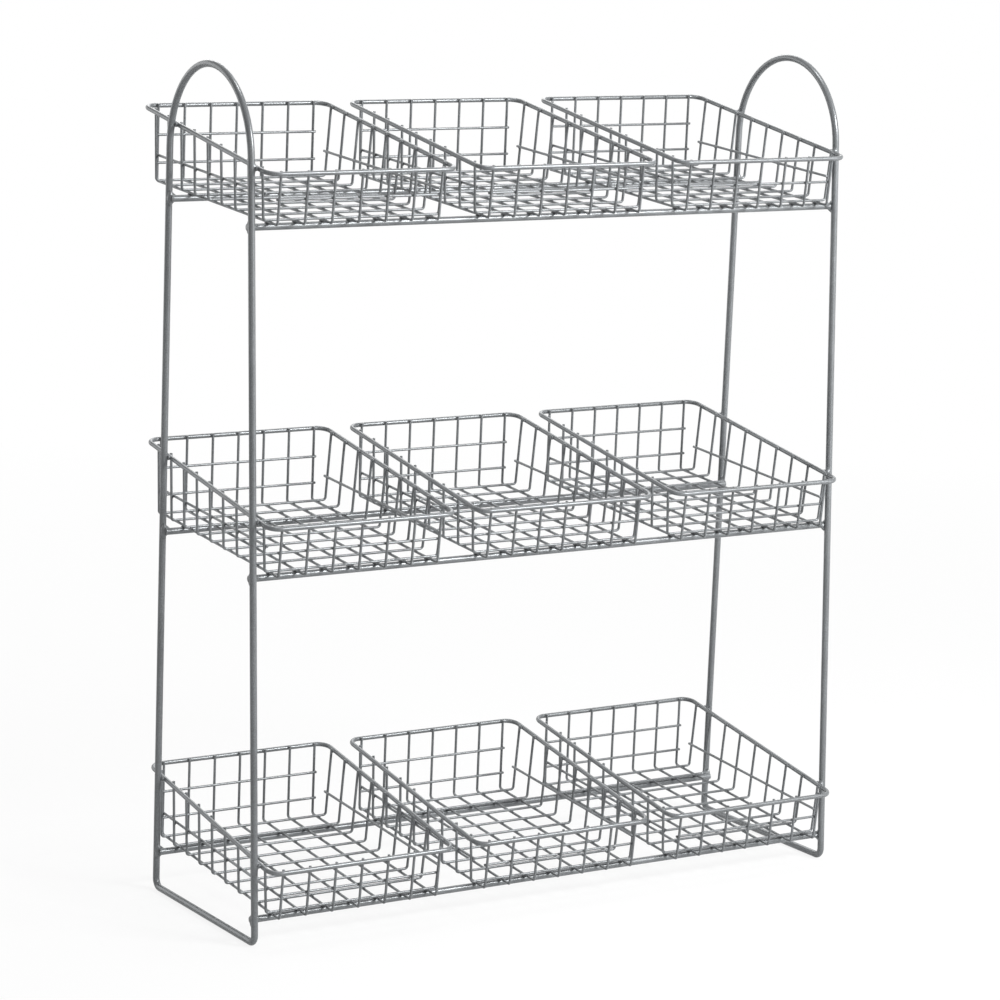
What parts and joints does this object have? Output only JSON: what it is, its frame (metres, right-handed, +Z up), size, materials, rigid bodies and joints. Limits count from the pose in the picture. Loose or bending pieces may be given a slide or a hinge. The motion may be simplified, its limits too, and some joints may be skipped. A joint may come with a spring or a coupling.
{
  "type": "countertop wire basket rack",
  "caption": "Free-standing three-tier countertop rack of welded wire: sloping mesh baskets carried on cross rods between two arched side frames.",
  "frame": {"origin": "on the counter, in the middle of the rack's width and half-way between its frontmost and rearmost points", "axes": "+X to the rack's right as seen from the front, +Y to its back, +Z up"},
  "size_m": [0.5974, 0.2592, 0.74],
  "materials": {
    "frame_coat": "satin silver-grey powder coat on steel wire",
    "rod_coat": "satin silver-grey powder coat on steel wire",
    "rim_coat": "satin silver-grey powder coat on steel wire",
    "mesh_coat": "satin silver-grey powder coat on steel wire"
  },
  "bodies": {
    "root": {"left_frame": "frame_coat", "right_frame": "frame_coat", "bottom_front_rod": "rod_coat", "bottom_back_rod": "rod_coat", "middle_front_rod": "rod_coat", "middle_back_rod": "rod_coat", "top_front_rod": "rod_coat", "top_back_rod": "rod_coat", "bottom_left_rim": "rim_coat", "bottom_left_long_wires": "mesh_coat", "bottom_left_cross_wires": "mesh_coat", "bottom_left_band_wires": "mesh_coat", "bottom_centre_rim": "rim_coat", "bottom_centre_long_wires": "mesh_coat", "bottom_centre_cross_wires": "mesh_coat", "bottom_centre_band_wires": "mesh_coat", "bottom_right_rim": "rim_coat", "bottom_right_long_wires": "mesh_coat", "bottom_right_cross_wires": "mesh_coat", "bottom_right_band_wires": "mesh_coat", "middle_left_rim": "rim_coat", "middle_left_long_wires": "mesh_coat", "middle_left_cross_wires": "mesh_coat", "middle_left_band_wires": "mesh_coat", "middle_centre_rim": "rim_coat", "middle_centre_long_wires": "mesh_coat", "middle_centre_cross_wires": "mesh_coat", "middle_centre_band_wires": "mesh_coat", "middle_right_rim": "rim_coat", "middle_right_long_wires": "mesh_coat", "middle_right_cross_wires": "mesh_coat", "middle_right_band_wires": "mesh_coat", "top_left_rim": "rim_coat", "top_left_long_wires": "mesh_coat", "top_left_cross_wires": "mesh_coat", "top_left_band_wires": "mesh_coat", "top_centre_rim": "rim_coat", "top_centre_long_wires": "mesh_coat", "top_centre_cross_wires": "mesh_coat", "top_centre_band_wires": "mesh_coat", "top_right_rim": "rim_coat", "top_right_long_wires": "mesh_coat", "top_right_cross_wires": "mesh_coat", "top_right_band_wires": "mesh_coat"}
  },
  "joints": []
}
